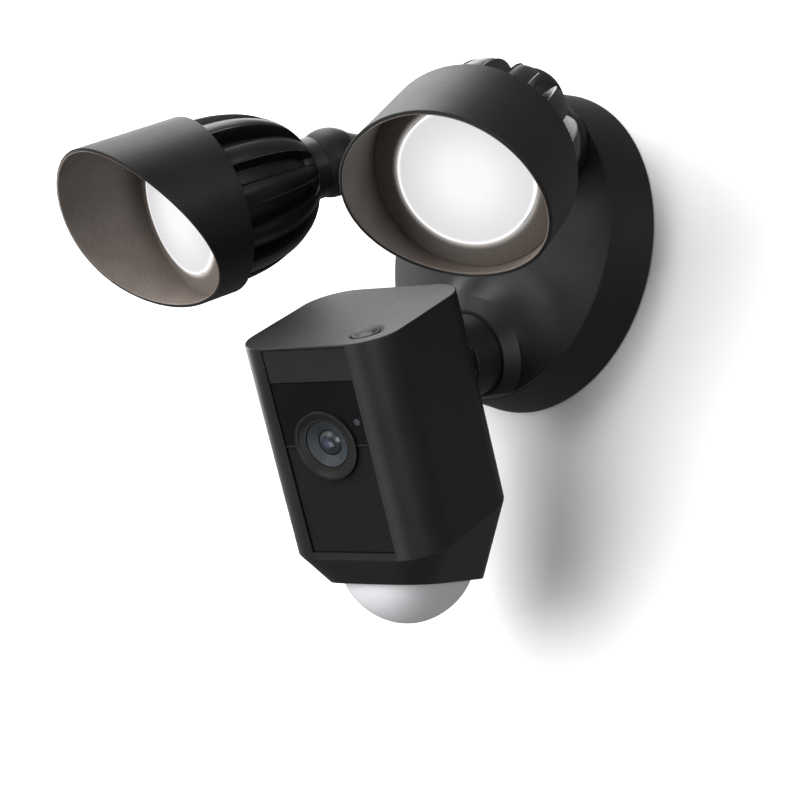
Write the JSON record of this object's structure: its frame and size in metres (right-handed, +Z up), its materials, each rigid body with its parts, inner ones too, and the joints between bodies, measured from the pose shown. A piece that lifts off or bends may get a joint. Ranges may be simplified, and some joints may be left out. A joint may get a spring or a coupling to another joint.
{
  "type": "floodlight security camera",
  "caption": "Wall-mounted floodlight camera: round base, lamp heads on ball-ended arms with slanted shades, and a ball-jointed camera with a motion-sensor dome.",
  "frame": {"origin": "centre of the round base's back, on the wall plane", "axes": "+X to the right seen from the front, +Y into the wall, +Z up; the lamps and camera point towards -Y"},
  "size_m": [0.2785, 0.1974, 0.2515],
  "materials": {
    "cover_plastic": "fine-textured matte black moulding",
    "lamp_metal": "black powder-coated casting",
    "steel": "plain zinc-plated steel",
    "rubber": "black rubber",
    "board": "green circuit board",
    "white_plastic": "white moulded plastic",
    "emitter": "phosphor disc of the light source",
    "diffuser": "milky diffuser, lit",
    "bezel_paint": "warm grey lining around the lens",
    "window_gloss": "smooth dark window",
    "lens_glass": "coated lens glass",
    "iris_ring": "satin grey-blue ring",
    "mesh": "woven speaker cloth",
    "dome_plastic": "translucent milky plastic"
  },
  "bodies": {
    "base": {"wall_bracket": "steel", "wall_gasket": "rubber", "base_cover": "cover_plastic", "cover_screw_top": "steel", "cover_screw_low": "steel", "inlet_grommet": "rubber", "driver_board": "board", "power_module": "white_plastic", "terminal_block": "white_plastic", "siren": "rubber"},
    "arm_left": {"arm_left": "cover_plastic", "knuckle_pin_left": "steel", "arm_washer_left": "steel", "arm_nut_left": "steel"},
    "arm_right": {"arm_right": "cover_plastic", "knuckle_pin_right": "steel", "arm_washer_right": "steel", "arm_nut_right": "steel"},
    "knuckle_left": {"lamp_neck_left": "cover_plastic"},
    "knuckle_right": {"lamp_neck_right": "cover_plastic"},
    "lamp_left": {"heat_sink_left": "lamp_metal", "shade_left": "cover_plastic", "bezel_left": "bezel_paint", "reflector_left": "white_plastic", "led_board_left": "board", "led_emitter_left": "emitter", "lens_seal_left": "rubber", "lamp_lens_left": "diffuser"},
    "lamp_right": {"heat_sink_right": "lamp_metal", "shade_right": "cover_plastic", "bezel_right": "bezel_paint", "reflector_right": "white_plastic", "led_board_right": "board", "led_emitter_right": "emitter", "lens_seal_right": "rubber", "lamp_lens_right": "diffuser"},
    "neck": {"camera_neck": "cover_plastic", "neck_seal": "rubber", "neck_nut": "steel", "neck_ball": "steel"},
    "cup": {"friction_cup": "white_plastic"},
    "button": {"setup_button": "cover_plastic"},
    "camera": {"ball_socket": "cover_plastic", "camera_shell": "cover_plastic", "chin": "cover_plastic", "front_frame": "cover_plastic", "front_window": "window_gloss", "speaker_mesh": "mesh", "light_sensor": "window_gloss", "lens_ring": "cover_plastic", "iris_ring": "iris_ring", "lens_barrel": "lamp_metal", "lens_glass": "lens_glass", "speaker": "rubber", "main_board": "board", "switch_board": "board", "motion_dome": "dome_plastic", "sensor_board": "board", "motion_sensor": "steel"}
  },
  "joints": [
    {"name": "arm_swivel_left", "type": "hinge", "parent": "base", "child": "arm_left", "pos_m": [-0.067, -0.0718, 0.0417], "axis": [-0.5333, -0.8371, 0.1219], "range_deg": [-70, 6]},
    {"name": "knuckle_tilt_left", "type": "hinge", "parent": "arm_left", "child": "knuckle_left", "pos_m": [-0.067, -0.0718, 0.0417], "axis": [0.7606, -0.4114, 0.5023], "range_deg": [-33, 8]},
    {"name": "lamp_turn_left", "type": "hinge", "parent": "knuckle_left", "child": "lamp_left", "pos_m": [-0.067, -0.0718, 0.0417], "axis": [0.1912, 0.8812, 0.4323], "range_deg": [-50, 30]},
    {"name": "arm_swivel_right", "type": "hinge", "parent": "base", "child": "arm_right", "pos_m": [0.067, -0.0718, 0.0417], "axis": [0.5333, -0.8371, 0.1219], "range_deg": [-23, 52]},
    {"name": "knuckle_tilt_right", "type": "hinge", "parent": "arm_right", "child": "knuckle_right", "pos_m": [0.067, -0.0718, 0.0417], "axis": [0.8451, 0.5208, -0.121], "range_deg": [-38, 4]},
    {"name": "lamp_turn_right", "type": "hinge", "parent": "knuckle_right", "child": "lamp_right", "pos_m": [0.067, -0.0718, 0.0417], "axis": [-0.3643, 0.7265, 0.5827], "range_deg": [-35, 45]},
    {"name": "neck_turn", "type": "hinge", "parent": "base", "child": "neck", "pos_m": [0, -0.0389, -0.0531], "axis": [0, -0.9285, -0.3714], "range_deg": [-15, 15]},
    {"name": "camera_pan", "type": "hinge", "parent": "neck", "child": "cup", "pos_m": [0, -0.06323, -0.06283], "axis": [0, -0.3714, 0.9285], "range_deg": [-20, 9]},
    {"name": "camera_tilt", "type": "hinge", "parent": "cup", "child": "camera", "pos_m": [0, -0.06323, -0.06283], "axis": [0.9634, 0.2656, -0.0355], "range_deg": [-10, 15]},
    {"name": "button_press", "type": "slide", "parent": "camera", "child": "button", "axis": [-0.1624, 0.4733, -0.8658], "range_m": [0, 0.0008], "stiffness_N_per_m": 800, "springref_m": -0.0005}
  ]
}
